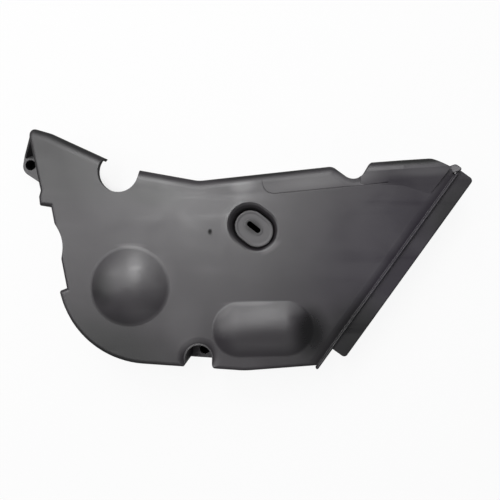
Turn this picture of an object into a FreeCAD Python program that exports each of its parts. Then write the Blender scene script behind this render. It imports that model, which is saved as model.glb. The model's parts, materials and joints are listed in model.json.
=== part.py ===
import FreeCAD
import Part

import math
import os
from FreeCAD import Vector

# Timing belt cover: a deep moulded shell, open at the back, with one rubber
# grommet pressed into a pocket in its face. Millimetres. X runs to the right and
# Y up the face, Z points out of the face. The origin is the middle of the lower
# bolt hole, on the plane of the rear rim. Bolts, belt and lower cover are not here.

# Shell
FACE_HEIGHT = 50.0
WALL = 2.4
ROLL_RADIUS = 8.0
EDGE_RADIUS = 3.5
BIG = 400.0
JOIN_SLACK = 0.001
TOUCH = 0.01
RING_SLACK = 0.1
ROLL_REACH = 1.0
ROLL_CLEAR = 2.0
BEVEL_SHARE = 0.586
END_FLATS = 8
SMALL_FLATS = 12

# Outline of the shell, anticlockwise from its round belly: x, y, corner radius
BELLY = (-97.8, -1.0, 74.0)
BOTTOM_SAG = (37.0, -10.2, 60.0)
TOP_RIGHT = (185.6, 160.9, 8.0)
END_ANGLE = -27.6
VALLEY_RIGHT = (138.9, 158.1, 3.0)
VALLEY_FLOOR = (128.3, 140.4, 10.7)
VALLEY_LEFT = (108.0, 155.1, 8.0)
TOP_DIP = (-0.7, 143.3, 24.0)
TOP_CREST = (-60.0, 153.9, 10.0)
TOP_BEND = (-120.6, 181.7, 14.0)
TOP_LEFT = (-138.4, 186.8, 0.0)
TAB_TOP = (-127.4, 134.8, 2.0)
TAB_SIDE = (-128.7, 130.0, 2.0)
TAB_FOOT = (-128.0, 122.9, 1.0)
STEP_UPPER = (-119.0, 121.9, 0.0)
STEP_LOWER = (-106.3, 56.4, 0.0)
BELLY_TOP = (-112.2, 54.1, 1.5)

# Slanted side, where the lower cover overlaps: a rib between groove and tongue
SLANT_FOOT = (95.2, -7.4)
SLANT_ANGLE = 54.2
RIB_LENGTH = 192.0
RIB_THICK = 2.4
RIB_CROWN = 0.9
RIB_BEVEL = 1.2
GROOVE_DEPTH = 1.5
GROOVE_FLOOR = 0.4
GROOVE_ROLL = 15.0
MOUTH_REACH = 7.5
BOTTOM_RUN = (-5.0, 1.2)
TONGUE_START = 19.0
TONGUE_END = 197.2
TONGUE_WIDTH = 13.4
TONGUE_DROP = 4.5
TONGUE_THICK = 2.4
TONGUE_CORNER = 3.2
TONGUE_BEVEL = 1.0

# Nub that closes the upper end of the groove, its top leaning to the left: its middle
# along and across the slanted side, and its corners about that as x, y, corner radius
NUB_PLACE = (194.5, 4.5)
NUB_OUTLINE = (
    (-4.3, -1.5, 1.8),
    (0.3, -4.9, 1.4),
    (2.5, -4.7, 1.7),
    (2.9, 1.2, 2.6),
    (-2.7, 5.1, 1.2),
)
NUB_RISE = 0.3
NUB_LEAN = 17.0
NUB_BEVEL = 0.7

# Corner housing along the right end of the top edge
HOUSING_START = -10.0
HOUSING_MIDDLE = 24.0
HOUSING_END = 64.0
HOUSING_MIDDLE_HEIGHT = 3.6
HOUSING_END_HEIGHT = 4.6
HOUSING_START_WIDTH = 17.0
HOUSING_MIDDLE_WIDTH = 21.0
HOUSING_END_WIDTH = 36.0

# Round notch in the top edge, with a short lip, and the gap in the wall below it
NOTCH_CENTRE = (-64.5, 149.8)
NOTCH_RADIUS = 16.2
NOTCH_LIP = 5.0
NOTCH_GAP = (-100.0, -44.0)
VALLEY_GAP = (106.0, 146.0)
GAP_DROP = 11.0
GAP_CORNER = 6.0

# Shallow scallop in the left edge
SCALLOP_CENTRE = (-137.8, 89.4)
SCALLOP_RADIUS = 29.1

# Bolt holes: both bolts clamp at the rear plane
BOLT_HOLE = 9.0
LUG_THICK = 10.0
WELL_RADIUS = 10.7
WELL_MOUTH = 3.4
WELL_RIM = 1.1
WELL_RIM_DROP = 1.0
DISH_RADIUS = 17.4
DISH_DEPTH = 1.9
UPPER_HOLE = (-153.5, 161.3)
LUG_LOW = (-127.4, 134.0)
LUG_TIP = (-160.9, 156.2, 9.0)
LUG_TOP = (-158.8, 169.4, 1.5)
LUG_ROOT = (-136.2, 179.4)
WEB_REACH = 24.0
WEB_THICK = 2.4
WEB_TOP = 4.0

# Round dome and long blister standing out of the face
DOME_CENTRE = (-55.0, 58.2)
DOME_RADIUS = 31.0
DOME_HEIGHT = 8.0
DOME_BLEND = 6.0
DOME_ROOM_STEPS = (0.75, 0.35)
BLISTER_CENTRE = (51.4, 23.6)
BLISTER_LENGTH = 80.0
BLISTER_WIDTH = 43.6
BLISTER_HEIGHT = 6.0
BLISTER_ANGLE = 1.3
BLISTER_BLEND = 3.0

# Pocket, its lip rolled down to a narrow gap round the grommet
POCKET_CENTRE = (43.7, 105.3)
POCKET_ANGLE = -38.0
POCKET_LENGTH = 43.0
POCKET_WIDTH = 36.2
POCKET_DEPTH = 10.0
POCKET_GAP = 0.4
POCKET_BEVELS = 5
FLOOR_THICK = 2.6
GROMMET_CENTRE = (44.4, 104.2)
GROMMET_LENGTH = 32.4
GROMMET_WIDTH = 25.5
GROMMET_HEAD = 7.0
GROMMET_EDGE = 0.6
HEAD_RIM = 1.4
HEAD_SLOPE = 1.4
HEAD_DIP = 0.4
NECK_INSET = 3.4
FOOT_INSET = 1.4
FOOT_THICK = 2.6
FOOT_EDGE = 0.9
SLOT_SHIFT = (-1.0, 0.9)
SLOT_LENGTH = 12.8
SLOT_WIDTH = 4.4
SLOT_LIP = 1.7
SLOT_LIP_RISE = 0.5

# Line where the upper panel of the face begins, and the gate mark
PANEL_LINE = ((50.2, 147.0), (52.2, 131.2), (152.0, 140.9))
PANEL_CORNER = 9.5
PANEL_GROOVE_WIDTH = 0.9
PANEL_GROOVE_DEPTH = 0.5
GATE_PLACE = (9.4, 102.2)
GATE_DIAMETER = 2.4
GATE_DEPTH = 0.8

# Stiffening ribs under the face: x1, y1, x2, y2
RIB_DROP = 6.0
INNER_RIB_THICK = 1.8
INNER_RIBS = (
    (-125.0, 100.0, 190.0, 118.0),
    (-110.0, 14.0, 120.0, 62.0),
    (-86.0, -20.0, -86.0, 190.0),
    (-14.0, -20.0, -14.0, 160.0),
    (96.0, -20.0, 96.0, 170.0),
    (146.0, 60.0, 146.0, 170.0),
)


def along(start, angle, distance):
    """Point at a distance from start, in the direction of an angle in degrees."""
    turn = math.radians(angle)
    return (start[0] + distance * math.cos(turn), start[1] + distance * math.sin(turn))


def crossing(a, b, c, d):
    """Point where the line through a and b meets the line through c and d."""
    ux, uy = b[0] - a[0], b[1] - a[1]
    vx, vy = d[0] - c[0], d[1] - c[1]
    share = ((c[0] - a[0]) * vy - (c[1] - a[1]) * vx) / (ux * vy - uy * vx)
    return (a[0] + share * ux, a[1] + share * uy)


def inset_corners(corners, inset):
    """Corners of the same outline moved inwards, its round corners kept concentric."""
    moved = []
    count = len(corners)
    for i in range(count):
        before, here, after = corners[i - 1], corners[i], corners[(i + 1) % count]
        ax, ay = here[0] - before[0], here[1] - before[1]
        bx, by = after[0] - here[0], after[1] - here[1]
        a_length, b_length = math.hypot(ax, ay), math.hypot(bx, by)
        a_shift = (-ay / a_length * inset, ax / a_length * inset)
        b_shift = (-by / b_length * inset, bx / b_length * inset)
        place = crossing(
            (before[0] + a_shift[0], before[1] + a_shift[1]),
            (here[0] + a_shift[0], here[1] + a_shift[1]),
            (here[0] + b_shift[0], here[1] + b_shift[1]),
            (after[0] + b_shift[0], after[1] + b_shift[1]),
        )
        outward = ax * by - ay * bx > 0
        radius = here[2] - inset if outward else here[2] + inset
        moved.append((place[0], place[1], max(radius, 0.0) if here[2] > 0 else 0.0))
    return moved


def outline_wire(corners, z):
    """Closed wire through corners given as x, y, radius."""
    joints = []
    count = len(corners)
    for i in range(count):
        before, here, after = corners[i - 1], corners[i], corners[(i + 1) % count]
        point = Vector(here[0], here[1], z)
        back = Vector(before[0], before[1], z) - point
        ahead = Vector(after[0], after[1], z) - point
        half = back.getAngle(ahead) / 2
        if here[2] <= 0:
            joints.append((point, point, None))
            continue
        reach = here[2] / math.tan(half)
        back.normalize()
        ahead.normalize()
        middle = back + ahead
        middle.normalize()
        top = point + middle * (here[2] / math.sin(half) - here[2])
        joints.append((point + back * reach, point + ahead * reach, top))
    edges = []
    for i in range(count):
        start, end, top = joints[i]
        if top is not None:
            edges.append(Part.Arc(start, top, end).toShape())
        next_start = joints[(i + 1) % count][0]
        if (next_start - end).Length > 1e-6:
            edges.append(Part.makeLine(end, next_start))
    return Part.Wire(edges)


def slab(corners, low, high):
    """Upright solid with the given outline, from one height to another."""
    face = Part.Face(outline_wire(corners, low))
    return face.extrude(Vector(0, 0, high - low))


def post(centre, radius, low, high):
    """Upright round solid."""
    return Part.makeCylinder(radius, high - low, Vector(centre[0], centre[1], low))


def flat_ring(centre, radius, z):
    """Closed wire of a few equal sides about a centre, for small or hidden rounds."""
    turns = [2 * math.pi * step / SMALL_FLATS for step in range(SMALL_FLATS + 1)]
    return Part.makePolygon([
        Vector(centre[0] + radius * math.cos(turn), centre[1] + radius * math.sin(turn), z)
        for turn in turns
    ])


def round_ends(reach, radius):
    """Edges of an oblong about the origin, with round ends."""
    left = Vector(-reach, 0, 0)
    right = Vector(reach, 0, 0)
    up = Vector(0, radius, 0)
    return [
        Part.makeLine(left - up, right - up),
        Part.Arc(right - up, right + Vector(radius, 0, 0), right + up).toShape(),
        Part.makeLine(right + up, left + up),
        Part.Arc(left + up, left - Vector(radius, 0, 0), left - up).toShape(),
    ]


def flat_ends(reach, radius):
    """Edges of the same oblong with ends of a few flats, for places out of sight."""
    turns = [math.pi * (step / END_FLATS - 0.5) for step in range(END_FLATS + 1)]
    offsets = [Vector(radius * math.cos(turn), radius * math.sin(turn), 0) for turn in turns]
    points = [Vector(reach, 0, 0) + offset for offset in offsets]
    points += [Vector(-reach, 0, 0) - offset for offset in offsets]
    return Part.makePolygon(points + points[:1]).Edges


def stadium(centre, angle, length, width, low, high, ends=round_ends):
    """Upright oblong solid with straight sides and round ends."""
    edges = ends((length - width) / 2, width / 2)
    solid = Part.Face(Part.Wire(edges)).extrude(Vector(0, 0, high - low))
    solid.rotate(Vector(0, 0, 0), Vector(0, 0, 1), angle)
    solid.translate(Vector(centre[0], centre[1], low))
    return solid


def edges_where(solid, test):
    """Edges whose middle point passes a test."""
    chosen = []
    for edge in solid.Edges:
        middle = edge.valueAt((edge.FirstParameter + edge.LastParameter) / 2)
        if test(middle):
            chosen.append(edge)
    return chosen


def slant_place(solid):
    """Move a solid made along X at the slanted side's own origin to its place."""
    solid.rotate(Vector(0, 0, 0), Vector(0, 0, 1), SLANT_ANGLE)
    solid.translate(Vector(SLANT_FOOT[0], SLANT_FOOT[1], 0))
    return solid


def slant_bar(start, end, inner, outer, low, high):
    """Bar beside the slanted side: start and end along it, inner and outer across it."""
    bar = Part.makeBox(end - start, outer - inner, high - low, Vector(start, -outer, low))
    return slant_place(bar)


def shell_corners():
    """Outline of the shell, with its slanted side worked out from the rib."""
    foot = along(SLANT_FOOT, SLANT_ANGLE - 90, RIB_THICK / 2)
    head = along(foot, SLANT_ANGLE, RIB_LENGTH)
    end_reach = along(TOP_RIGHT, END_ANGLE, 10)
    below = (SLANT_FOOT[0] + BOTTOM_RUN[0], SLANT_FOOT[1] + BOTTOM_RUN[1])
    low_right = crossing(foot, head, BOTTOM_SAG, below)
    high_right = crossing(foot, head, TOP_RIGHT, end_reach)
    return [
        BELLY,
        BOTTOM_SAG,
        (low_right[0], low_right[1], 0.0),
        (high_right[0], high_right[1], 0.0),
        TOP_RIGHT,
        VALLEY_RIGHT,
        VALLEY_FLOOR,
        VALLEY_LEFT,
        TOP_DIP,
        TOP_CREST,
        TOP_BEND,
        TOP_LEFT,
        TAB_TOP,
        TAB_SIDE,
        TAB_FOOT,
        STEP_UPPER,
        STEP_LOWER,
        BELLY_TOP,
    ]


def near_line(point, a, b, reach, spare):
    """Whether a point lies within reach of the stretch from a to b."""
    dx, dy = b[0] - a[0], b[1] - a[1]
    length = math.hypot(dx, dy)
    ahead = ((point.x - a[0]) * dx + (point.y - a[1]) * dy) / length
    aside = abs((point.x - a[0]) * dy - (point.y - a[1]) * dx) / length
    return aside < reach and -spare < ahead < length + spare


def on_roll(point, height, inset):
    """Whether a point lies on the top edge that rolls over, left of the valley."""
    if abs(point.z - height) > TOUCH:
        return False
    stretches = (
        (TOP_LEFT, TOP_BEND),
        (TOP_BEND, TOP_CREST),
        (TOP_CREST, TOP_DIP),
        (TOP_DIP, VALLEY_LEFT),
    )
    reach, spare = inset + ROLL_REACH, -inset - ROLL_CLEAR
    return any(near_line(point, a, b, reach, spare) for a, b in stretches)


def on_sharp_rim(point):
    """Whether a point lies on a top edge that is only rounded off."""
    if abs(point.z - FACE_HEIGHT) > TOUCH:
        return False
    stretches = (
        (VALLEY_LEFT, VALLEY_FLOOR),
        (TOP_LEFT, TAB_TOP),
        (TAB_FOOT, STEP_UPPER),
        (STEP_UPPER, STEP_LOWER),
        (STEP_LOWER, BELLY_TOP),
        (BELLY_TOP, BELLY),
        (BOTTOM_SAG, SLANT_FOOT),
    )
    return any(near_line(point, a, b, ROLL_REACH, ROLL_REACH) for a, b in stretches)


def body(inset, height, roll):
    """Block of the shell's outline with its long top edge rolled over, or bevelled inside."""
    corners = shell_corners()
    block = slab(inset_corners(corners, inset) if inset else corners, 0, height)
    rolled = edges_where(block, lambda point: on_roll(point, height, inset))
    if inset:
        return block.makeChamfer(roll * BEVEL_SHARE, rolled)
    return block.makeFillet(roll, rolled)


def housing_section(place, inset, height, width):
    """Closed profile across the housing, with the roll at the shell's top edge."""
    dx, dy = TOP_RIGHT[0] - VALLEY_RIGHT[0], TOP_RIGHT[1] - VALLEY_RIGHT[1]
    length = math.hypot(dx, dy)
    ahead = Vector(dx / length, dy / length, 0)
    inward = Vector(dy / length, -dx / length, 0)
    start = Vector(VALLEY_RIGHT[0], VALLEY_RIGHT[1], 0) + ahead * place
    top = FACE_HEIGHT + height - inset
    roll = ROLL_RADIUS - inset
    low = FACE_HEIGHT / 2

    def point(across, z):
        return start + inward * across + Vector(0, 0, z)

    if inset:
        bevel = roll * BEVEL_SHARE
        corners = [
            point(width, low),
            point(inset, low),
            point(inset, top - bevel),
            point(inset + bevel, top),
            point(width, FACE_HEIGHT - inset),
        ]
        return Part.makePolygon(corners + corners[:1])
    bend = roll * (1 - math.sqrt(0.5))
    corners = [
        point(width, low),
        point(inset, low),
        point(inset, top - roll),
        point(ROLL_RADIUS, top),
        point(width, FACE_HEIGHT - inset),
    ]
    return Part.Wire([
        Part.makeLine(corners[0], corners[1]),
        Part.makeLine(corners[1], corners[2]),
        Part.Arc(corners[2], point(inset + bend, top - bend), corners[3]).toShape(),
        Part.makeLine(corners[3], corners[4]),
        Part.makeLine(corners[4], corners[0]),
    ])


def housing(inset):
    """Raised corner housing, its height and width growing to the right."""
    sections = [
        housing_section(HOUSING_START, inset, 0.0, HOUSING_START_WIDTH),
        housing_section(HOUSING_MIDDLE, inset, HOUSING_MIDDLE_HEIGHT, HOUSING_MIDDLE_WIDTH),
        housing_section(HOUSING_END, inset, HOUSING_END_HEIGHT, HOUSING_END_WIDTH),
    ]
    raised = Part.makeLoft(sections, True, True)
    corners = shell_corners()
    clip = slab(inset_corners(corners, inset) if inset else corners, 0, FACE_HEIGHT * 2)
    return raised.common(clip)


def cap_radius(half_width, height):
    """Radius of a ball whose cap has the given half width and height."""
    return (half_width ** 2 + height ** 2) / (2 * height)


def above(solid, height):
    """The part of a solid above a height."""
    room = Part.makeBox(2 * BIG, 2 * BIG, BIG, Vector(-BIG, -BIG, height))
    return solid.common(room)


def dome():
    """Ball cap that clears a pulley behind the face."""
    ball = cap_radius(DOME_RADIUS, DOME_HEIGHT)
    middle = Vector(DOME_CENTRE[0], DOME_CENTRE[1], FACE_HEIGHT + DOME_HEIGHT - ball)
    return above(Part.makeSphere(ball, middle), FACE_HEIGHT - 2 * WALL)


def dome_room():
    """Room under the dome, its ball drawn with cones that stay inside it."""
    ball = cap_radius(DOME_RADIUS, DOME_HEIGHT) - WALL
    middle = FACE_HEIGHT + DOME_HEIGHT - WALL - ball
    low = FACE_HEIGHT - 2 * WALL
    radii = [math.sqrt(ball ** 2 - (low - middle) ** 2)]
    radii += [DOME_RADIUS * share for share in DOME_ROOM_STEPS]
    points = [Vector(0, 0, low)]
    points += [Vector(radius, 0, middle + math.sqrt(ball ** 2 - radius ** 2)) for radius in radii]
    points += [Vector(0, 0, points[-1].z), Vector(0, 0, low)]
    room = Part.Face(Part.makePolygon(points)).revolve(Vector(0, 0, 0), Vector(0, 0, 1), 360)
    room.translate(Vector(DOME_CENTRE[0], DOME_CENTRE[1], 0))
    return room


def blister(inset):
    """Long bulge with ball ends."""
    half_width = BLISTER_WIDTH / 2
    ball = cap_radius(half_width, BLISTER_HEIGHT)
    reach = BLISTER_LENGTH / 2 - half_width
    low = FACE_HEIGHT + BLISTER_HEIGHT - ball
    left = along(BLISTER_CENTRE, BLISTER_ANGLE, -reach)
    right = along(BLISTER_CENTRE, BLISTER_ANGLE, reach)
    start = Vector(left[0], left[1], low)
    end = Vector(right[0], right[1], low)
    bar = Part.makeCylinder(ball - inset, 2 * reach, start, end - start)
    round_ends = [Part.makeSphere(ball - inset, start), Part.makeSphere(ball - inset, end)]
    return above(bar.multiFuse(round_ends), FACE_HEIGHT - 2 * WALL).removeSplitter()


def pocket_ring(share, height, grow=0.0, ends=round_ends):
    """Outline of the pocket at a height, a share of the way from its lip to its foot."""
    centre = [lip + (foot - lip) * share for lip, foot in zip(POCKET_CENTRE, GROMMET_CENTRE)]
    length_in = (POCKET_LENGTH - GROMMET_LENGTH - 2 * POCKET_GAP) * share
    width_in = (POCKET_WIDTH - GROMMET_WIDTH - 2 * POCKET_GAP) * share
    length = POCKET_LENGTH - length_in + 2 * grow
    width = POCKET_WIDTH - width_in + 2 * grow
    return lower_wire(stadium(centre, POCKET_ANGLE, length, width, height, height + WALL, ends))


def pocket():
    """Cutter of the pocket, its wall a quarter round drawn in bevels."""
    rings = [pocket_ring(0.0, FACE_HEIGHT * 2)]
    for step in range(POCKET_BEVELS + 1):
        turn = math.pi / 2 * step / POCKET_BEVELS
        height = FACE_HEIGHT - POCKET_DEPTH * (1 - math.cos(turn))
        rings.append(pocket_ring(math.sin(turn), height))
    return Part.makeLoft(rings, True, True)


def pocket_block():
    """Block that is kept around the pocket."""
    low = FACE_HEIGHT - POCKET_DEPTH - FLOOR_THICK
    rings = [
        pocket_ring(1.0, low, WALL, flat_ends),
        pocket_ring(0.0, FACE_HEIGHT - WALL, WALL, flat_ends),
        pocket_ring(0.0, FACE_HEIGHT, WALL, flat_ends),
    ]
    return Part.makeLoft(rings, True, True)


def grommet_bar(inset, low, high, ends=round_ends):
    """Upright oblong about the grommet's middle, inset from its head's outline."""
    length, width = GROMMET_LENGTH - 2 * inset, GROMMET_WIDTH - 2 * inset
    return stadium(GROMMET_CENTRE, POCKET_ANGLE, length, width, low, high, ends)


def lower_wire(solid):
    """Outline of the lowest face of a solid."""
    return min(solid.Faces, key=lambda face: face.CenterOfMass.z).OuterWire


def head_dip(top):
    """Cutter for the shallow dip inside the rim of the grommet's head."""
    wires = [
        lower_wire(grommet_bar(HEAD_RIM + HEAD_SLOPE, top - HEAD_DIP, top)),
        lower_wire(grommet_bar(HEAD_RIM, top, top + WALL)),
        lower_wire(grommet_bar(HEAD_RIM, top + WALL, top + 2 * WALL)),
    ]
    return Part.makeLoft(wires, True, True)


def gate_mark():
    """Cutter of the small round mark where the plastic came in."""
    ring = flat_ring(GATE_PLACE, GATE_DIAMETER / 2, FACE_HEIGHT - GATE_DEPTH)
    return Part.Face(ring).extrude(Vector(0, 0, FACE_HEIGHT))


def well(grow, low):
    """Bolt well, open at the lower edge of the shell."""
    radius = WELL_RADIUS + grow
    high = FACE_HEIGHT * 2
    channel = Part.makeBox(2 * radius, BIG, high - low, Vector(-radius, -BIG, low))
    return post((0, 0), radius, low, high).fuse(channel)


def well_mouth(side):
    """Cutter that rounds one corner where the bolt well opens in the lower edge."""
    share = (side * WELL_RADIUS - BELLY[0]) / (BOTTOM_SAG[0] - BELLY[0])
    edge = BELLY[1] + (BOTTOM_SAG[1] - BELLY[1]) * share
    low, high = LUG_THICK, FACE_HEIGHT * 2
    start = Vector(min(side * WELL_RADIUS, side * (WELL_RADIUS + WELL_MOUTH)), edge - WALL, low)
    square = Part.makeBox(WELL_MOUTH, WELL_MOUTH + WALL, high - low, start)
    middle = (side * (WELL_RADIUS + WELL_MOUTH), edge + WELL_MOUTH)
    return square.cut(post(middle, WELL_MOUTH, low, high))


def well_dish():
    """Cutter that rolls the face down round the bolt well and leaves a thin rim."""
    inner = WELL_RADIUS + WELL_RIM
    run = DISH_RADIUS - inner
    roll = (run ** 2 + DISH_DEPTH ** 2) / (2 * DISH_DEPTH)
    turn = math.asin(run / roll) / 2
    low = FACE_HEIGHT - DISH_DEPTH
    rim = FACE_HEIGHT - WELL_RIM_DROP
    sky = FACE_HEIGHT * 2
    foot = Vector(inner, 0, low)
    half = Vector(DISH_RADIUS - roll * math.sin(turn), 0, FACE_HEIGHT - roll * (1 - math.cos(turn)))
    brow = Vector(DISH_RADIUS, 0, FACE_HEIGHT)
    inside = Part.makePolygon([brow, Vector(brow.x, 0, sky), Vector(0, 0, sky), Vector(0, 0, rim)])
    step = Part.makePolygon([Vector(0, 0, rim), Vector(inner, 0, rim), foot])
    roll_down = Part.Arc(foot, half, brow).toShape()
    profile = Part.Face(Part.Wire(inside.Edges + step.Edges + [roll_down]))
    return profile.revolve(Vector(0, 0, 0), Vector(0, 0, 1), 360)


def groove(inset):
    """Room over the rolled edge of the face, the groove and the rib beside it."""
    roll = GROOVE_ROLL - inset
    run = math.sqrt(GROOVE_ROLL ** 2 - (GROOVE_ROLL - GROOVE_DEPTH) ** 2)
    top = -RIB_THICK / 2 - GROOVE_FLOOR - run
    middle = FACE_HEIGHT - GROOVE_ROLL
    floor = FACE_HEIGHT - GROOVE_DEPTH - inset
    turn = math.acos((floor - middle) / roll)
    sky = FACE_HEIGHT * 2

    def point(across, z):
        return Vector(-WALL, -across, z)

    brow = point(top, middle + roll)
    half = point(top + roll * math.sin(turn / 2), middle + roll * math.cos(turn / 2))
    foot = point(top + roll * math.sin(turn), floor)
    rest = Part.makePolygon([foot, point(WALL * 2, floor), point(WALL * 2, sky), point(top, sky), brow])
    profile = Part.Face(Part.Wire([Part.Arc(brow, half, foot).toShape()] + rest.Edges))
    return slant_place(profile.extrude(Vector(RIB_LENGTH + 4 * WALL, 0, 0)))


def tongue():
    """Flat tongue outside the rib, which the lower cover laps over."""
    outer = RIB_THICK / 2 + TONGUE_WIDTH
    top = FACE_HEIGHT - TONGUE_DROP
    corners = [
        (TONGUE_START, -outer, TONGUE_CORNER),
        (TONGUE_END, -outer, TONGUE_CORNER),
        (TONGUE_END, 0, 0.0),
        (TONGUE_START, 0, 0.0),
    ]
    plate = slab(corners, top - TONGUE_THICK, top)
    end = edges_where(plate, lambda point: point.z > top - TOUCH and point.x > TONGUE_END - TOUCH)
    plate = plate.makeChamfer(TONGUE_BEVEL, end)
    return slant_place(plate)


def rib():
    """Rib with a narrow flat crown between steep bevels, its lower end rounded off."""
    radius = RIB_THICK / 2
    low = FACE_HEIGHT - GROOVE_DEPTH - WALL
    brow = FACE_HEIGHT - RIB_BEVEL
    profile = [(radius, low), (radius, brow), (RIB_CROWN / 2, FACE_HEIGHT)]
    profile += [(-across, z) for across, z in reversed(profile)]
    corners = [Vector(0, across, z) for across, z in profile]
    bar = Part.Face(Part.makePolygon(corners + corners[:1])).extrude(Vector(RIB_LENGTH, 0, 0))
    foot = Part.Face(flat_ring((0, 0), radius, low)).extrude(Vector(0, 0, brow - low))
    rings = [flat_ring((0, 0), radius, brow), flat_ring((0, 0), RIB_CROWN / 2, FACE_HEIGHT)]
    return slant_place(bar.multiFuse([foot, Part.makeLoft(rings, True, True)]))


def nub():
    """Rounded dam across the upper end of the groove, its top leaning to the left."""
    low = FACE_HEIGHT - TONGUE_DROP - TONGUE_THICK
    corners = [(NUB_PLACE[0] + x, NUB_PLACE[1] + y, radius) for x, y, radius in NUB_OUTLINE]
    block = slant_place(slab(corners, low, FACE_HEIGHT + ROLL_RADIUS))
    middle = along(SLANT_FOOT, SLANT_ANGLE, NUB_PLACE[0])
    middle = along(middle, SLANT_ANGLE + 90, NUB_PLACE[1])
    top = Vector(middle[0], middle[1], FACE_HEIGHT + NUB_RISE)
    sky = Part.makeBox(BIG, BIG, BIG, Vector(-BIG / 2, -BIG / 2, 0))
    sky.rotate(Vector(0, 0, 0), Vector(0, 1, 0), -NUB_LEAN)
    sky.translate(top)
    block = block.cut(sky)
    lean = math.radians(NUB_LEAN)
    upward = Vector(-math.sin(lean), 0, math.cos(lean))
    rim = edges_where(block, lambda point: abs((point - top).dot(upward)) < TOUCH)
    return block.makeChamfer(NUB_BEVEL, rim)


def panel_groove():
    """Fine step line round the upper panel: steep above it and easy below it."""
    start, corner, end = (Vector(x, y, FACE_HEIGHT) for x, y in PANEL_LINE)
    back = start - corner
    ahead = end - corner
    half = back.getAngle(ahead) / 2
    reach = PANEL_CORNER / math.tan(half)
    back.normalize()
    ahead.normalize()
    middle = back + ahead
    middle.normalize()
    top = corner + middle * (PANEL_CORNER / math.sin(half) - PANEL_CORNER)
    path = Part.Wire([
        Part.makeLine(start, corner + back * reach),
        Part.Arc(corner + back * reach, top, corner + ahead * reach).toShape(),
        Part.makeLine(corner + ahead * reach, end),
    ])
    across = Vector(back.y, -back.x, 0)
    deep = Vector(0, 0, -PANEL_GROOVE_DEPTH)
    lift = Vector(0, 0, PANEL_GROOVE_DEPTH)
    profile = Part.makePolygon([
        start + lift,
        start + deep,
        start + across * PANEL_GROOVE_WIDTH + lift,
        start + lift,
    ])
    return path.makePipeShell([profile], True, False)


def wall_gap(span, depth):
    """Gap in the top wall, left open below the rolled edge under a notch."""
    left, right = span
    height = FACE_HEIGHT - GAP_DROP
    room = Part.makeBox(right - left, BIG, height + WALL, Vector(left, depth, -WALL))
    upper = edges_where(room, lambda point: is_gap_corner(point, span, height))
    return room.makeFillet(GAP_CORNER, upper)


def is_gap_corner(point, span, height):
    """Whether a point lies on one of the two upper corners of a wall gap."""
    at_side = abs(point.x - span[0]) < TOUCH or abs(point.x - span[1]) < TOUCH
    return at_side and abs(point.z - height) < TOUCH


def lug():
    """Upper bolt lug at the rear plane, with the web that carries it."""
    corners = [(LUG_LOW[0], LUG_LOW[1], 0.0), (LUG_ROOT[0], LUG_ROOT[1], 0.0), LUG_TOP, LUG_TIP]
    plate = slab(corners, 0, LUG_THICK)
    dx, dy = LUG_ROOT[0] - LUG_TOP[0], LUG_ROOT[1] - LUG_TOP[1]
    length = math.hypot(dx, dy)
    web = Part.Face(Part.makePolygon([
        Vector(0, 0, 0),
        Vector(0, 0, LUG_THICK),
        Vector(WEB_REACH, 0, FACE_HEIGHT - WEB_TOP),
        Vector(length, 0, FACE_HEIGHT - WEB_TOP),
        Vector(length, 0, 0),
        Vector(0, 0, 0),
    ])).extrude(Vector(0, -WEB_THICK, 0))
    web.rotate(Vector(0, 0, 0), Vector(0, 0, 1), math.degrees(math.atan2(dy, dx)))
    web.translate(Vector(LUG_TOP[0], LUG_TOP[1], 0))
    return plate.fuse(web)


def inner_ribs():
    """Stiffening ribs under the face."""
    ribs = []
    low = FACE_HEIGHT - WALL - RIB_DROP
    for x1, y1, x2, y2 in INNER_RIBS:
        length = math.hypot(x2 - x1, y2 - y1)
        corner = Vector(0, -INNER_RIB_THICK / 2, 0)
        rib = Part.makeBox(length, INNER_RIB_THICK, FACE_HEIGHT, corner)
        rib.rotate(Vector(0, 0, 0), Vector(0, 0, 1), math.degrees(math.atan2(y2 - y1, x2 - x1)))
        rib.translate(Vector(x1, y1, low))
        ribs.append(rib)
    return ribs


def make_outside():
    """Solid block with the whole outer form of the cover."""
    block = body(0.0, FACE_HEIGHT, ROLL_RADIUS)
    block = block.makeFillet(EDGE_RADIUS, edges_where(block, on_sharp_rim))
    block = block.fuse((housing(0.0),), JOIN_SLACK).removeSplitter()
    block = block.fuse(dome())
    ring = edges_where(block, lambda point: on_ring(point, DOME_CENTRE, DOME_RADIUS))
    block = block.makeFillet(DOME_BLEND, ring)
    block = block.fuse(blister(0.0))
    base = edges_where(block, on_blister_base)
    block = block.makeFillet(BLISTER_BLEND, base)
    return block.cut(pocket())


def on_ring(point, centre, radius):
    """Whether a point of the face lies on a circle."""
    away = math.hypot(point.x - centre[0], point.y - centre[1])
    return abs(point.z - FACE_HEIGHT) < TOUCH and abs(away - radius) < RING_SLACK


def on_blister_base(point):
    """Whether a point of the face lies on the outline of the long bulge."""
    if abs(point.z - FACE_HEIGHT) > TOUCH:
        return False
    half = BLISTER_WIDTH / 2
    reach = BLISTER_LENGTH / 2 - half
    left = along(BLISTER_CENTRE, BLISTER_ANGLE, -reach)
    right = along(BLISTER_CENTRE, BLISTER_ANGLE, reach)
    if near_line(point, left, right, half + RING_SLACK, 0.0):
        return not near_line(point, left, right, half - RING_SLACK, 0.0)
    return on_ring(point, left, half) or on_ring(point, right, half)


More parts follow.
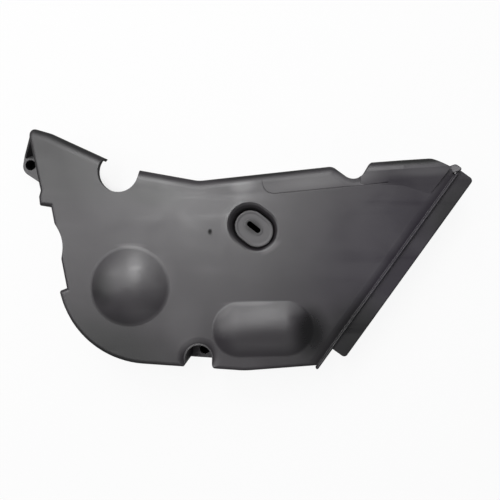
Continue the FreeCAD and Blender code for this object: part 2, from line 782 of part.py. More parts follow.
def make_hollow():
    """Room inside the shell, open at the back and under the slanted side."""
    room = body(WALL, FACE_HEIGHT - WALL, ROLL_RADIUS - WALL)
    room = room.multiFuse((housing(WALL), dome_room(), blister(WALL)), JOIN_SLACK)
    scallop = post(SCALLOP_CENTRE, SCALLOP_RADIUS + WALL, 0, FACE_HEIGHT)
    collar = post(NOTCH_CENTRE, NOTCH_RADIUS + WALL, FACE_HEIGHT - NOTCH_LIP, FACE_HEIGHT)
    kept = [scallop, collar, pocket_block(), well(WALL, 0), groove(WALL)]
    room = room.cut(kept + inner_ribs())
    low = FACE_HEIGHT - TONGUE_DROP - TONGUE_THICK
    mouth = slant_bar(2 * WALL, RIB_LENGTH - 2 * WALL, -MOUTH_REACH, WALL, -WALL, low)
    return room.fuse(mouth)


def make_cover():
    """The moulded cover."""
    cover = make_outside().cut(make_hollow())
    cover = cover.cut([
        groove(0.0),
        post(SCALLOP_CENTRE, SCALLOP_RADIUS, -WALL, FACE_HEIGHT * 2),
        post(NOTCH_CENTRE, NOTCH_RADIUS, -WALL, FACE_HEIGHT * 2),
        wall_gap(NOTCH_GAP, NOTCH_CENTRE[1] - NOTCH_RADIUS),
        wall_gap(VALLEY_GAP, VALLEY_FLOOR[1]),
        well(0.0, LUG_THICK),
        well_mouth(-1),
        well_mouth(1),
        well_dish(),
        grommet_bar(NECK_INSET, 0, FACE_HEIGHT, flat_ends),
        panel_groove(),
        gate_mark(),
    ])
    cover = cover.multiFuse([tongue(), rib(), nub(), lug()])
    cover = cover.cut([
        post((0, 0), BOLT_HOLE / 2, -WALL, LUG_THICK + WALL),
        post(UPPER_HOLE, BOLT_HOLE / 2, -WALL, LUG_THICK + WALL),
    ])
    return cover.removeSplitter()


def make_grommet():
    """Rubber grommet: head in the pocket, neck through its floor, foot behind it."""
    floor = FACE_HEIGHT - POCKET_DEPTH
    behind = floor - FLOOR_THICK
    top = floor + GROMMET_HEAD
    head = grommet_bar(0.0, floor, top)
    upper = edges_where(head, lambda point: point.z > top - TOUCH)
    head = head.makeChamfer(GROMMET_EDGE, upper).cut(head_dip(top))
    foot = grommet_bar(FOOT_INSET, behind - FOOT_THICK, behind, flat_ends)
    low = behind - FOOT_THICK + TOUCH
    foot = foot.makeChamfer(FOOT_EDGE, edges_where(foot, lambda point: point.z < low))
    neck = grommet_bar(NECK_INSET, behind, floor, flat_ends)
    middle = along(GROMMET_CENTRE, POCKET_ANGLE, SLOT_SHIFT[0])
    middle = along(middle, POCKET_ANGLE + 90, SLOT_SHIFT[1])
    lip_length, lip_width = SLOT_LENGTH + 2 * SLOT_LIP, SLOT_WIDTH + 2 * SLOT_LIP
    lip = stadium(middle, POCKET_ANGLE, lip_length, lip_width, floor, top + SLOT_LIP_RISE - HEAD_DIP)
    slot_low = behind - FOOT_THICK - WALL
    slot = stadium(middle, POCKET_ANGLE, SLOT_LENGTH, SLOT_WIDTH, slot_low, top + WALL)
    return head.multiFuse([neck, foot, lip]).cut(slot).removeSplitter()


def main():
    os.makedirs("parts", exist_ok=True)
    nodes = {"cover": make_cover(), "slotted_grommet": make_grommet()}
    for name, solid in nodes.items():
        print(name, solid.isValid(), len(solid.Solids), round(solid.Volume), solid.BoundBox)
        solid.exportStep("parts/" + name + ".step")


main()
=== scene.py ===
"""Looks of the moulded timing belt cover: its finishes, studio and camera."""

from __future__ import annotations

import json
import logging
import math
from dataclasses import dataclass, field
from enum import Enum

import bpy
from mathutils import Matrix, Vector

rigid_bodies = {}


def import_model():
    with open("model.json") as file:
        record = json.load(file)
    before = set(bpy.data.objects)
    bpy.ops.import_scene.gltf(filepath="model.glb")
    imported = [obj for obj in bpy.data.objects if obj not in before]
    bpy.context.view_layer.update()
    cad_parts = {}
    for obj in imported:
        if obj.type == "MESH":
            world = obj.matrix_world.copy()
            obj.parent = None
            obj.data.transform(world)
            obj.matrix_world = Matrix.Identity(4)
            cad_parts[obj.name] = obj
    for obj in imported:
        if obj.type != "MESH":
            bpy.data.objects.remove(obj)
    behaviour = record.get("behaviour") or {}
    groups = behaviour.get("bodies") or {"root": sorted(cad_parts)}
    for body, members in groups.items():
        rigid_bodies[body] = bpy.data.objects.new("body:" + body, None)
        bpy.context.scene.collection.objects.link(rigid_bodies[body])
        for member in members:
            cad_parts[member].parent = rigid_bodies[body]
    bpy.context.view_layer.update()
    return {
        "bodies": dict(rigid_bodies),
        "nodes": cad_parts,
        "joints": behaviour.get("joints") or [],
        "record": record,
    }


logging.basicConfig(level=logging.INFO, format="%(name)s: %(message)s")
LOG = logging.getLogger("timing_cover")

Colour = tuple[float, float, float]
Place = tuple[float, float, float]

# Where the lamps aim: the middle of the face, in metres.
FACE_MIDDLE: Place = (0.02, 0.10, 0.05)
ALONG_Y: Place = (0.0, 1.0, 0.0)
ALONG_Z: Place = (0.0, 0.0, 1.0)

# Tones of the ovals of painted light, linear: painted highlight, painted cool light cast and
# painted shade.
PAINTED_HIGHLIGHT: Colour = (0.133, 0.130, 0.133)
PAINTED_COOL_CAST: Colour = (0.0200, 0.0157, 0.0266)
PAINTED_SHADE: Colour = (0.0027, 0.0027, 0.0027)
WHITE: Colour = (1.0, 1.0, 1.0)

# Sockets of a Mix node that mixes colours, by number because their names repeat.
MIX_SHARE, MIX_FIRST, MIX_SECOND, MIX_RESULT = 0, 6, 7, 2


class Slot(Enum):
    """The record's material slots."""

    COVER_PLASTIC = "cover_plastic"
    GROMMET_RUBBER = "grommet_rubber"


class NodeName(Enum):
    """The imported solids."""

    COVER = "cover"
    GROMMET = "slotted_grommet"


def rgba(colour: Colour) -> tuple[float, float, float, float]:
    """Add full opacity to a colour."""
    return (*colour, 1.0)


class Wiring:
    """Short calls for adding and joining nodes in one tree."""

    def __init__(self, tree: bpy.types.NodeTree) -> None:
        """Keep the tree and start from no nodes.

        Args:
            tree: The node tree to fill.
        """
        self.tree = tree
        tree.nodes.clear()

    def add(self, kind: str, **values: object) -> bpy.types.Node:
        """Add a node.

        Args:
            kind: The node's type name.
            values: Properties of the node to set.

        Returns:
            The new node.
        """
        node = self.tree.nodes.new(kind)
        for name, value in values.items():
            setattr(node, name, value)
        return node

    def join(self, start: bpy.types.NodeSocket, end: bpy.types.NodeSocket) -> None:
        """Lead one output to one input."""
        self.tree.links.new(start, end)

    def math(
        self,
        operation: str,
        first: bpy.types.NodeSocket | float,
        second: bpy.types.NodeSocket | float = 0.0,
        clamp: bool = False,
    ) -> bpy.types.NodeSocket:
        """Add a calculation of two values.

        Args:
            operation: The calculation.
            first: A socket or a number.
            second: A socket or a number.
            clamp: Whether the result stays between 0 and 1.

        Returns:
            The result's socket.
        """
        node = self.add("ShaderNodeMath", operation=operation, use_clamp=clamp)
        for socket, value in zip(node.inputs, (first, second)):
            if isinstance(value, bpy.types.NodeSocket):
                self.join(value, socket)
            else:
                socket.default_value = value
        return node.outputs[0]

    def span(
        self, value: bpy.types.NodeSocket, low: float, high: float, to_low: float, to_high: float
    ) -> bpy.types.NodeSocket:
        """Map a range of values smoothly to another range.

        Args:
            value: The value to map.
            low: The value that becomes to_low.
            high: The value that becomes to_high.
            to_low: The result at and below low.
            to_high: The result at and above high.

        Returns:
            The result's socket.
        """
        node = self.add("ShaderNodeMapRange", interpolation_type="SMOOTHSTEP")
        self.join(value, node.inputs["Value"])
        for name, number in (
            ("From Min", low),
            ("From Max", high),
            ("To Min", to_low),
            ("To Max", to_high),
        ):
            node.inputs[name].default_value = number
        return node.outputs["Result"]

    def tint(
        self,
        share: bpy.types.NodeSocket,
        first: bpy.types.NodeSocket | Colour,
        second: bpy.types.NodeSocket | Colour,
    ) -> bpy.types.NodeSocket:
        """Mix two colours.

        Args:
            share: How much of the second colour shows.
            first: A colour or its socket.
            second: A colour or its socket.

        Returns:
            The mixed colour's socket.
        """
        node = self.add("ShaderNodeMix", data_type="RGBA")
        self.join(share, node.inputs[MIX_SHARE])
        for number, value in ((MIX_FIRST, first), (MIX_SECOND, second)):
            if isinstance(value, bpy.types.NodeSocket):
                self.join(value, node.inputs[number])
            else:
                node.inputs[number].default_value = rgba(value)
        return node.outputs[MIX_RESULT]


class ShaderGroup:
    """A shader node group with named inputs and outputs, built once."""

    title: str = "group"
    inputs: tuple[tuple[str, str, float], ...] = ()
    outputs: tuple[tuple[str, str], ...] = ()

    def __init__(self) -> None:
        """Build the group's sockets and then its nodes."""
        self.tree = bpy.data.node_groups.new(self.title, "ShaderNodeTree")
        for name, kind, value in self.inputs:
            socket = self.tree.interface.new_socket(name, in_out="INPUT", socket_type=kind)
            if kind == "NodeSocketFloat":
                socket.default_value = value
        for name, kind in self.outputs:
            self.tree.interface.new_socket(name, in_out="OUTPUT", socket_type=kind)
        wiring = Wiring(self.tree)
        entry = wiring.add("NodeGroupInput")
        leave = wiring.add("NodeGroupOutput")
        self.fill(wiring, entry.outputs, leave.inputs)

    def fill(self, wiring: Wiring, given: object, wanted: object) -> None:
        """Fill the group with its nodes.

        Args:
            wiring: The group's wiring.
            given: The sockets that come in, by name.
            wanted: The sockets that go out, by name.
        """
        raise NotImplementedError

    def place(self, wiring: Wiring, **values: float) -> bpy.types.Node:
        """Place the group in a material.

        Args:
            wiring: The material's wiring.
            values: Values of the group's inputs, with _ for a space.

        Returns:
            The group's node.
        """
        node = wiring.add("ShaderNodeGroup")
        node.node_tree = self.tree
        for name, value in values.items():
            node.inputs[name.replace("_", " ").capitalize()].default_value = value
        return node


class MouldGrain(ShaderGroup):
    """Fine sparked grain that the mould leaves on plastic and rubber."""

    title = "mould_grain"
    inputs = (
        ("Place", "NodeSocketVector", 0.0),
        ("Cells per metre", "NodeSocketFloat", 1500.0),
    )
    outputs = (("Height", "NodeSocketFloat"), ("Shade", "NodeSocketFloat"))

    cell_smoothness = 0.6
    cell_share = 0.55
    fine_share = 0.7
    fine_per_cell = 1.7
    fine_detail = 3.0
    fine_roughness = 0.6
    shade_from = (0.3, 0.7)

    def fill(self, wiring: Wiring, given: object, wanted: object) -> None:
        """Mix a cell pattern with finer noise.

        Args:
            wiring: The group's wiring.
            given: The sockets that come in, by name.
            wanted: The sockets that go out, by name.
        """
        cells = wiring.add("ShaderNodeTexVoronoi", feature="SMOOTH_F1")
        cells.inputs["Smoothness"].default_value = self.cell_smoothness
        fine = wiring.add("ShaderNodeTexNoise")
        fine.inputs["Detail"].default_value = self.fine_detail
        fine.inputs["Roughness"].default_value = self.fine_roughness
        wiring.join(given["Place"], cells.inputs["Vector"])
        wiring.join(given["Place"], fine.inputs["Vector"])
        wiring.join(given["Cells per metre"], cells.inputs["Scale"])
        fine_scale = wiring.math("MULTIPLY", given["Cells per metre"], self.fine_per_cell)
        wiring.join(fine_scale, fine.inputs["Scale"])
        sunk = wiring.math("MULTIPLY", cells.outputs["Distance"], self.cell_share)
        raised = wiring.math("MULTIPLY", fine.outputs[0], self.fine_share)
        wiring.join(wiring.math("ADD", sunk, raised), wanted["Height"])
        wiring.join(wiring.span(fine.outputs[0], *self.shade_from, 0.0, 1.0), wanted["Shade"])


class FlowMarks(ShaderGroup):
    """Broad soft patches and streaks where the plastic flowed and cooled unevenly."""

    title = "flow_marks"
    inputs = (
        ("Place", "NodeSocketVector", 0.0),
        ("Patches per metre", "NodeSocketFloat", 25.0),
    )
    outputs = (("Patches", "NodeSocketFloat"), ("Streaks", "NodeSocketFloat"))

    patch_detail = 2.0
    patch_distortion = 0.4
    patch_from = (0.36, 0.68)
    streak_turn = -6.0
    streak_stretch = (0.16, 1.6, 1.0)
    streak_detail = 4.0
    streaks_per_patch = 3.0
    streak_from = (0.5, 0.74)

    def fill(self, wiring: Wiring, given: object, wanted: object) -> None:
        """Make round patches and long thin streaks.

        Args:
            wiring: The group's wiring.
            given: The sockets that come in, by name.
            wanted: The sockets that go out, by name.
        """
        patches = wiring.add("ShaderNodeTexNoise")
        patches.inputs["Detail"].default_value = self.patch_detail
        patches.inputs["Distortion"].default_value = self.patch_distortion
        wiring.join(given["Place"], patches.inputs["Vector"])
        wiring.join(given["Patches per metre"], patches.inputs["Scale"])

        stretch = wiring.add("ShaderNodeMapping")
        stretch.inputs["Rotation"].default_value = (0.0, 0.0, math.radians(self.streak_turn))
        stretch.inputs["Scale"].default_value = self.streak_stretch
        wiring.join(given["Place"], stretch.inputs["Vector"])
        streaks = wiring.add("ShaderNodeTexNoise")
        streaks.inputs["Detail"].default_value = self.streak_detail
        wiring.join(stretch.outputs["Vector"], streaks.inputs["Vector"])
        scale = wiring.math("MULTIPLY", given["Patches per metre"], self.streaks_per_patch)
        wiring.join(scale, streaks.inputs["Scale"])

        wiring.join(wiring.span(patches.outputs[0], *self.patch_from, 0.0, 1.0), wanted["Patches"])
        wiring.join(wiring.span(streaks.outputs[0], *self.streak_from, 0.0, 1.0), wanted["Streaks"])


class EdgeRubAndHighlight(ShaderGroup):
    """Edges made paler, partly as rubbing wear and partly as painted highlight, broken up by noise,
    and the rounded normal beside them.
    """

    title = "edge_rub_and_highlight"
    inputs = (
        ("Place", "NodeSocketVector", 0.0),
        ("Strength", "NodeSocketFloat", 1.0),
    )
    outputs = (("Mask", "NodeSocketFloat"), ("Normal", "NodeSocketVector"))

    edge_radius = 0.0006
    edge_samples = 4
    turned_from = (0.98, 0.75)
    break_scale = 260.0
    break_detail = 3.0
    break_from = (0.35, 0.65)
    least_rub = 0.25

    def fill(self, wiring: Wiring, given: object, wanted: object) -> None:
        """Find edges by how far a rounded normal leaves the true one.

        Args:
            wiring: The group's wiring.
            given: The sockets that come in, by name.
            wanted: The sockets that go out, by name.
        """
        rounded = wiring.add("ShaderNodeBevel", samples=self.edge_samples)
        rounded.inputs["Radius"].default_value = self.edge_radius
        surface = wiring.add("ShaderNodeNewGeometry")
        turned = wiring.add("ShaderNodeVectorMath", operation="DOT_PRODUCT")
        wiring.join(rounded.outputs[0], turned.inputs[0])
        wiring.join(surface.outputs["Normal"], turned.inputs[1])
        edge = wiring.span(turned.outputs["Value"], *self.turned_from, 0.0, 1.0)

        broken = wiring.add("ShaderNodeTexNoise")
        broken.inputs["Scale"].default_value = self.break_scale
        broken.inputs["Detail"].default_value = self.break_detail
        wiring.join(given["Place"], broken.inputs["Vector"])
        patchy = wiring.span(broken.outputs[0], *self.break_from, self.least_rub, 1.0)

        mask = wiring.math("MULTIPLY", edge, patchy)
        wiring.join(wiring.math("MULTIPLY", mask, given["Strength"], clamp=True), wanted["Mask"])
        wiring.join(rounded.outputs[0], wanted["Normal"])


@dataclass(frozen=True)
class PaintedLightOval:
    """A soft oval that makes the surface smoother or rougher and paints light over its colour: a
    highlight, shade or a cool light cast.

    where says what part of the piece it lies on. The middle and the half sizes (reach) are in
    metres, and the turn about Z is in degrees. Roughness is added to the finish's own, and
    share is how much of the tone covers the finish's colour.
    """

    where: str
    middle: tuple[float, float]
    reach: tuple[float, float]
    turn: float = 0.0
    roughness: float = 0.0
    share: float = 0.0
    tone: Colour = PAINTED_HIGHLIGHT


class LocalOval(ShaderGroup):
    """Mask of one soft oval on the face, whatever the height of the surface."""

    title = "local_oval"
    inputs = (
        ("Place", "NodeSocketVector", 0.0),
        ("Middle", "NodeSocketVector", 0.0),
        ("Turn", "NodeSocketVector", 0.0),
        ("Reach", "NodeSocketVector", 0.0),
    )
    outputs = (("Mask", "NodeSocketFloat"),)

    core = 0.2
    any_height = 10.0

    def fill(self, wiring: Wiring, given: object, wanted: object) -> None:
        """Measure how far a place lies from the oval's middle, in shares of its reach.

        Args:
            wiring: The group's wiring.
            given: The sockets that come in, by name.
            wanted: The sockets that go out, by name.
        """
        local = wiring.add("ShaderNodeMapping", vector_type="TEXTURE")
        wiring.join(given["Place"], local.inputs["Vector"])
        wiring.join(given["Middle"], local.inputs["Location"])
        wiring.join(given["Turn"], local.inputs["Rotation"])
        wiring.join(given["Reach"], local.inputs["Scale"])
        away = wiring.add("ShaderNodeVectorMath", operation="LENGTH")
        wiring.join(local.outputs["Vector"], away.inputs[0])
        mask = wiring.span(away.outputs["Value"], self.core, 1.0, 1.0, 0.0)
        wiring.join(mask, wanted["Mask"])

    def mask(
        self, wiring: Wiring, place: bpy.types.NodeSocket, oval: PaintedLightOval
    ) -> bpy.types.NodeSocket:
        """Place the group for one oval.

        Args:
            wiring: The material's wiring.
            place: The surface's own coordinates.
            oval: Where the oval is, and its size.

        Returns:
            The mask's socket.
        """
        node = self.place(wiring)
        node.label = oval.where
        wiring.join(place, node.inputs["Place"])
        node.inputs["Middle"].default_value = (*oval.middle, 0.0)
        node.inputs["Turn"].default_value = (0.0, 0.0, math.radians(oval.turn))
        node.inputs["Reach"].default_value = (*oval.reach, self.any_height)
        return node.outputs["Mask"]


@dataclass(frozen=True)
class Effects:
    """The shader groups that the finishes share."""

    grain: MouldGrain = field(default_factory=MouldGrain)
    flow: FlowMarks = field(default_factory=FlowMarks)
    rub_and_highlight: EdgeRubAndHighlight = field(default_factory=EdgeRubAndHighlight)
    local: LocalOval = field(default_factory=LocalOval)


@dataclass(frozen=True)
class MouldedFinish:
    """A moulded black finish, plastic or rubber.

    Colours are linear, roughness is for the bare surface, and grain_depth is in metres.
    """

    title: str
    body: Colour
    patch: Colour
    # The edges' paler colour: partly rubbing wear, partly painted highlight.
    rubbed_and_highlit: Colour
    roughness: float
    patch_roughness: float
    grain_cells: float
    grain_depth: float
    rub_and_highlight_strength: float
    painted_light_ovals: tuple[PaintedLightOval, ...] = ()
    grain_tint: float = 0.25
    grain_roughness: float = 0.04
    streak_roughness: float = -0.08
    bump_strength: float = 0.6
    ior: float = 1.73

    def material(self, effects: Effects) -> bpy.types.Material:
        """Build the finish as a material.

        Args:
            effects: The shared shader groups.

        Returns:
            The material.
        """
        material = bpy.data.materials.new(self.title)
        material.use_nodes = True
        wiring = Wiring(material.node_tree)
        place = wiring.add("ShaderNodeTexCoord").outputs["Object"]
        grain = effects.grain.place(wiring, cells_per_metre=self.grain_cells)
        flow = effects.flow.place(wiring)
        rub_and_highlight = effects.rub_and_highlight.place(wiring, strength=self.rub_and_highlight_strength)
        for node in (grain, flow, rub_and_highlight):
            wiring.join(place, node.inputs["Place"])

        colour = wiring.tint(flow.outputs["Patches"], self.body, self.patch)
        speck = wiring.math("MULTIPLY", grain.outputs["Shade"], self.grain_tint)
        colour = wiring.tint(speck, colour, self.patch)
        # Paler edges: partly rubbing wear, partly painted highlight.
        colour = wiring.tint(rub_and_highlight.outputs["Mask"], colour, self.rubbed_and_highlit)

        rough = wiring.math("ADD", self.roughness, 0.0)
        for mask, change in (
            (flow.outputs["Patches"], self.patch_roughness - self.roughness),
            (flow.outputs["Streaks"], self.streak_roughness),
            (grain.outputs["Shade"], self.grain_roughness),
        ):
            rough = wiring.math("ADD", rough, wiring.math("MULTIPLY", mask, change))

        # Painted light: each oval paints its tone (highlight, shade or cool cast) over the colour
        # and changes the roughness.
        for oval in self.painted_light_ovals:
            mask = effects.local.mask(wiring, place, oval)
            if oval.roughness:
                change = wiring.math("MULTIPLY", mask, oval.roughness)
                rough = wiring.math("ADD", rough, change)
            if oval.share:
                cover = wiring.math("MULTIPLY", mask, oval.share)
                colour = wiring.tint(cover, colour, oval.tone)

        bump = wiring.add("ShaderNodeBump")
        bump.inputs["Strength"].default_value = self.bump_strength
        bump.inputs["Distance"].default_value = self.grain_depth
        wiring.join(grain.outputs["Height"], bump.inputs["Height"])
        wiring.join(rub_and_highlight.outputs["Normal"], bump.inputs["Normal"])

        shader = wiring.add("ShaderNodeBsdfPrincipled")
        shader.inputs["IOR"].default_value = self.ior
        wiring.join(colour, shader.inputs["Base Color"])
        wiring.join(rough, shader.inputs["Roughness"])
        wiring.join(bump.outputs["Normal"], shader.inputs["Normal"])
        output = wiring.add("ShaderNodeOutputMaterial")
        wiring.join(shader.outputs[0], output.inputs["Surface"])
        return material


# Ovals of painted light on the cover, laid one over the other in this order: painted highlights and
# sheen lines, painted shade, and a painted cool light cast on the right side, each with a change of
# roughness. Each gives its middle, reach, turn, roughness, share and tone.
COVER_PAINTED_LIGHT: tuple[PaintedLightOval, ...] = (
    PaintedLightOval("beside the gate", (0.004, 0.120), (0.045, 0.025), roughness=-0.07, share=0.06),
    PaintedLightOval("above the pocket", (0.036, 0.138), (0.014, 0.007), 6.0, -0.05, 0.50),
    PaintedLightOval("panel", (0.102, 0.1428), (0.058, 0.009), 6.6, share=0.62),
    PaintedLightOval("below the top bend", (-0.035, 0.1405), (0.030, 0.005), -8.0, -0.03, 0.20),
    PaintedLightOval("housing crest", (0.180, 0.1500), (0.038, 0.006), 2.0, share=0.65),
    PaintedLightOval("blister's upper foot", (0.040, 0.0444), (0.026, 0.0028), 1.3, share=0.55),
    PaintedLightOval("blister's shoulder", (0.021, 0.0380), (0.012, 0.005), 42.0, share=0.35),
    PaintedLightOval("dome's upper foot", (-0.054, 0.0905), (0.015, 0.0030), share=0.45),
    PaintedLightOval("dome's right side", (-0.031, 0.067), (0.016, 0.026), 0.0, 0.04, 0.30),
    PaintedLightOval("between dome and well", (-0.012, 0.028), (0.024, 0.030), 0.0, 0.05, 0.18),
    PaintedLightOval("well's rim", (-0.004, 0.0095), (0.014, 0.010), share=0.30),
    PaintedLightOval("pocket's lower lip", (0.058, 0.0892), (0.012, 0.004), 35.0, share=0.55),
    PaintedLightOval("groove", (0.147, 0.075), (0.100, 0.0045), 53.9, share=0.22),
    PaintedLightOval("cool light cast on the right side", (0.160, 0.090), (0.120, 0.090), 54.0, 0.0, 0.60, PAINTED_COOL_CAST),
    PaintedLightOval("upper left", (-0.110, 0.155), (0.060, 0.045), -21.0, 0.03, 0.80, PAINTED_SHADE),
    PaintedLightOval("upper left roll", (-0.112, 0.176), (0.050, 0.005), -21.8, 0.0, 0.90, PAINTED_SHADE),
    PaintedLightOval("top roll", (0.057, 0.1488), (0.062, 0.004), 6.6, 0.0, 1.0, PAINTED_SHADE),
    PaintedLightOval("housing roll", (0.172, 0.1580), (0.045, 0.005), 2.0, 0.0, 1.0, PAINTED_SHADE),
    PaintedLightOval("right of the notch", (-0.036, 0.132), (0.036, 0.016), -8.0, 0.0, 0.85, PAINTED_SHADE),
    PaintedLightOval("belly", (-0.070, 0.008), (0.082, 0.036), -22.0, 0.0, 1.0, PAINTED_SHADE),
    PaintedLightOval("dome's left side", (-0.075, 0.058), (0.014, 0.020), 0.0, 0.0, 0.70, PAINTED_SHADE),
    PaintedLightOval("lower right", (0.100, 0.008), (0.050, 0.040), 0.0, 0.0, 0.60, PAINTED_SHADE),
    PaintedLightOval("tongue's upper end", (0.203, 0.122), (0.045, 0.015), 54.0, 0.0, 0.80, PAINTED_SHADE),
    PaintedLightOval("tongue's foot", (0.132, 0.018), (0.040, 0.046), 0.0, -0.12, 0.95, PAINTED_SHADE),
    PaintedLightOval("blister's right end", (0.090, 0.022), (0.018, 0.028), 0.0, -0.22, 1.0, PAINTED_SHADE),
    PaintedLightOval("pocket", (0.0405, 0.1078), (0.028, 0.024), -38.0, -0.10, 1.0, PAINTED_SHADE),
    PaintedLightOval("lug's web", (-0.152, 0.177), (0.010, 0.012), 0.0, 0.30, 1.0, PAINTED_SHADE),
    PaintedLightOval("gate", (0.0092, 0.1016), (0.0024, 0.0032), 0.0, 0.45, 1.0, PAINTED_SHADE),
)

# Ovals of painted light on the grommet: painted shade round the slot and a painted highlight on its
# lower rim.
GROMMET_PAINTED_LIGHT: tuple[PaintedLightOval, ...] = (
    PaintedLightOval("round the slot", (0.0438, 0.1058), (0.0110, 0.0080), -38.0, 0.15, 0.80, PAINTED_SHADE),
    PaintedLightOval("lower rim", (0.0560, 0.0920), (0.0100, 0.0020), 45.0, share=0.90),
)


@dataclass(frozen=True)
class MouldedPiece:
    """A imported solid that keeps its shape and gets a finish."""

    node: NodeName
    slot: Slot
    finish: MouldedFinish

    def dress(self, frame: dict, effects: Effects) -> bpy.types.Object:
        """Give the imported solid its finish.

        Args:
            effects: The shared shader groups.

        Returns:
            The piece's object.
        """
        piece = frame["nodes"][self.node.value]
        piece.data.materials.clear()
        piece.data.materials.append(self.finish.material(effects))
        return piece


@dataclass(frozen=True)
class CoverShell(MouldedPiece):
    """The moulded cover itself."""

    node: NodeName = NodeName.COVER
    slot: Slot = Slot.COVER_PLASTIC
    finish: MouldedFinish = MouldedFinish(
        title="cover_plastic",
        body=(0.0180, 0.0149, 0.0184),
        patch=(0.0287, 0.0253, 0.0290),
        # Paler edges, partly wear and partly painted highlight.
        rubbed_and_highlit=(0.13, 0.13, 0.13),
        roughness=0.395,
        patch_roughness=0.49,
        grain_cells=1500.0,
        grain_depth=0.00006,
        rub_and_highlight_strength=0.5,
        painted_light_ovals=COVER_PAINTED_LIGHT,
    )


@dataclass(frozen=True)
class SlottedGrommet(MouldedPiece):
    """The rubber grommet in the pocket."""

    node: NodeName = NodeName.GROMMET
    slot: Slot = Slot.GROMMET_RUBBER
    finish: MouldedFinish = MouldedFinish(
        title="grommet_rubber",
        body=(0.062, 0.0590, 0.062),
        patch=(0.076, 0.073, 0.076),
        # Paler edges, partly wear and partly painted highlight.
        rubbed_and_highlit=(0.26, 0.26, 0.26),
        roughness=0.58,
        patch_roughness=0.64,
        grain_cells=2200.0,
        grain_depth=0.00005,
        rub_and_highlight_strength=1.0,
        painted_light_ovals=GROMMET_PAINTED_LIGHT,
    )


@dataclass(frozen=True)
class SoftLamp:
    """An oblong studio lamp, its height turned towards a direction. Power is in watts."""

    title: str
    place: Place
    upward: Place
    width: float
    height: float
    power: float
    aim: Place = FACE_MIDDLE

    def build(self) -> bpy.types.Object:
        """Make the lamp.

        Returns:
            The lamp's object.
        """
        light = bpy.data.lights.new(self.title, "AREA")
        light.shape = "RECTANGLE"
        light.size = self.width
        light.size_y = self.height
        light.energy = self.power
        lamp = bpy.data.objects.new(self.title, light)
        bpy.context.scene.collection.objects.link(lamp)
        lamp.location = self.place
        lamp.visible_camera = False
        back = (Vector(self.place) - Vector(self.aim)).normalized()
        side = Vector(self.upward).cross(back).normalized()
        lamp.rotation_euler = Matrix((side, back.cross(side), back)).transposed().to_euler()
        return lamp


@dataclass(frozen=True)
class PaintedShadowSpot:
    """A round spot of floor, in metres, painted dark as shadow, that shows only through a hole in
    the cover.
    """

    middle: tuple[float, float]
    radius: float
    soft_edge: float = 1.2

    def outside(self, wiring: Wiring, place: bpy.types.NodeSocket) -> bpy.types.NodeSocket:
        """Mask of the floor outside the spot.

        Args:
            wiring: The material's wiring.
            place: The floor's own coordinates.

        Returns:
            The socket: 0 in the spot and 1 outside it.
        """
        away = wiring.add("ShaderNodeVectorMath", operation="DISTANCE")
        wiring.join(place, away.inputs[0])
        away.inputs[1].default_value = (*self.middle, 0.0)
        edge = self.radius * self.soft_edge
        return wiring.span(away.outputs["Value"], self.radius, edge, 0.0, 1.0)


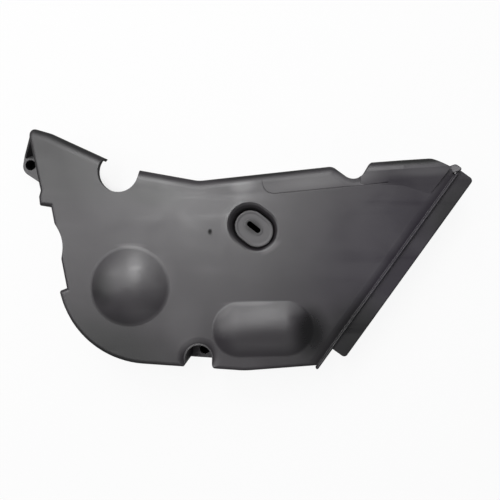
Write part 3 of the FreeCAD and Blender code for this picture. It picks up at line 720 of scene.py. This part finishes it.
@dataclass(frozen=True)
class Studio:
    """Pale floor, white surroundings and soft lamps."""

    floor_size: float = 6.0
    floor_gap: float = 0.0002
    floor_colour: Colour = (0.82, 0.82, 0.82)
    floor_bounce: Colour = (0.08, 0.08, 0.08)
    # Colour of the painted shade under the cover and in the spots.
    floor_shade: Colour = (0.004, 0.004, 0.004)
    floor_white: float = 0.91
    shade_reach: float = 0.6
    shade_samples: int = 24
    shade_from: tuple[float, float] = (0.05, 0.3)
    gloss_share: float = 0.1
    room_colour: Colour = (0.057, 0.0555, 0.064)
    # Painted shadow on the floor below the slot and the two lug holes.
    painted_shadow_spots: tuple[PaintedShadowSpot, ...] = (
        PaintedShadowSpot((0.043, 0.106), 0.020),
        PaintedShadowSpot((0.0, 0.0), 0.0048),
        PaintedShadowSpot((-0.1535, 0.1613), 0.0048),
    )
    lamps: tuple[SoftLamp, ...] = (
        SoftLamp("key_lamp", (-0.13, 0.44, 1.0), ALONG_Y, 0.17, 0.82, power=6.15),
        SoftLamp("left_lamp", (-0.99, 0.28, 1.28), ALONG_Z, 1.0, 0.8, power=7.6),
        SoftLamp("near_lamp", (0.02, -1.03, 1.18), ALONG_Z, 1.0, 0.8, power=1.65),
        SoftLamp("far_lamp", (0.02, 1.24, 1.03), ALONG_Z, 2.5, 0.83, power=10.6),
    )

    def build(self) -> None:
        """Make the floor, the room and the lamps."""
        self.build_floor()
        self.build_room()
        for lamp in self.lamps:
            lamp.build()

    def build_floor(self) -> None:
        """Lay the floor just under the rear rim."""
        bpy.ops.object.select_all(action="DESELECT")
        bpy.ops.mesh.primitive_plane_add(size=self.floor_size, location=(0, 0, -self.floor_gap))
        floor = bpy.context.object
        floor.name = "studio_floor"
        floor.data.materials.append(self.floor_material())

    def floor_material(self) -> bpy.types.Material:
        """Make a floor that is white to the camera, painted dark as shade under the cover and in
        spots below its holes, and dim in gloss.

        Returns:
            The material.
        """
        material = bpy.data.materials.new("pale_floor")
        material.use_nodes = True
        wiring = Wiring(material.node_tree)
        # Painted shade: the floor turns near black where occlusion finds it covered and in the
        # spots below the holes.
        covered = wiring.add("ShaderNodeAmbientOcclusion", samples=self.shade_samples)
        covered.inputs["Distance"].default_value = self.shade_reach
        bare = wiring.span(covered.outputs["AO"], *self.shade_from, 0.0, 1.0)
        place = wiring.add("ShaderNodeTexCoord").outputs["Object"]
        for spot in self.painted_shadow_spots:
            bare = wiring.math("MULTIPLY", bare, spot.outside(wiring, place))

        seen = self.seen(wiring)
        colour = wiring.tint(seen, self.floor_bounce, self.floor_colour)
        matte = wiring.add("ShaderNodeBsdfDiffuse")
        wiring.join(wiring.tint(bare, self.floor_shade, colour), matte.inputs["Color"])
        white = wiring.add("ShaderNodeEmission")
        white.inputs["Strength"].default_value = 1.0
        shine = wiring.math("MULTIPLY", wiring.math("MULTIPLY", bare, seen), self.floor_white)
        mix = wiring.add("ShaderNodeMixShader")
        for start, end in zip((shine, matte.outputs[0], white.outputs[0]), mix.inputs):
            wiring.join(start, end)
        output = wiring.add("ShaderNodeOutputMaterial")
        wiring.join(mix.outputs[0], output.inputs["Surface"])
        return material

    def build_room(self) -> None:
        """Surround the scene with white that lights it only weakly."""
        world = bpy.data.worlds.new("studio_room")
        world.use_nodes = True
        bpy.context.scene.world = world
        wiring = Wiring(world.node_tree)
        background = wiring.add("ShaderNodeBackground")
        colour = wiring.tint(self.seen(wiring), self.room_colour, WHITE)
        wiring.join(colour, background.inputs["Color"])
        output = wiring.add("ShaderNodeOutputWorld")
        wiring.join(background.outputs[0], output.inputs["Surface"])

    def seen(self, wiring: Wiring) -> bpy.types.NodeSocket:
        """Share of white that a ray sees: all for the camera and glass, a little for gloss.

        Args:
            wiring: The material's wiring.

        Returns:
            The socket.
        """
        path = wiring.add("ShaderNodeLightPath")
        gloss = wiring.math("MULTIPLY", path.outputs["Is Glossy Ray"], self.gloss_share)
        clear = wiring.math(
            "MAXIMUM", path.outputs["Is Camera Ray"], path.outputs["Is Transmission Ray"]
        )
        return wiring.math("MAXIMUM", clear, gloss)


@dataclass(frozen=True)
class PhotoCamera:
    """Camera straight above the face, framed as in the photograph."""

    place: Place = (0.0589, 0.0911, 0.450)
    lens: float = 36.0
    sensor: float = 36.0
    shift: tuple[float, float] = (-0.044, -0.010)
    nearest: float = 0.01
    farthest: float = 50.0

    def build(self) -> bpy.types.Object:
        """Make the camera and put it to use.

        Returns:
            The camera's object.
        """
        data = bpy.data.cameras.new("photo_camera")
        data.lens = self.lens
        data.sensor_width = self.sensor
        data.shift_x, data.shift_y = self.shift
        data.clip_start = self.nearest
        data.clip_end = self.farthest
        camera = bpy.data.objects.new("photo_camera", data)
        camera.location = self.place
        bpy.context.scene.collection.objects.link(camera)
        bpy.context.scene.camera = camera
        return camera


def main() -> None:
    """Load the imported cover, dress its pieces and set up the studio."""
    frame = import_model()
    effects = Effects()
    for piece in (CoverShell(), SlottedGrommet()):
        shown = piece.dress(frame, effects)
        LOG.info("%s dressed, %d faces", shown.name, len(shown.data.polygons))
    Studio().build()
    PhotoCamera().build()
    bpy.context.scene.view_settings.view_transform = "Standard"


if __name__ == "__main__":
    main()
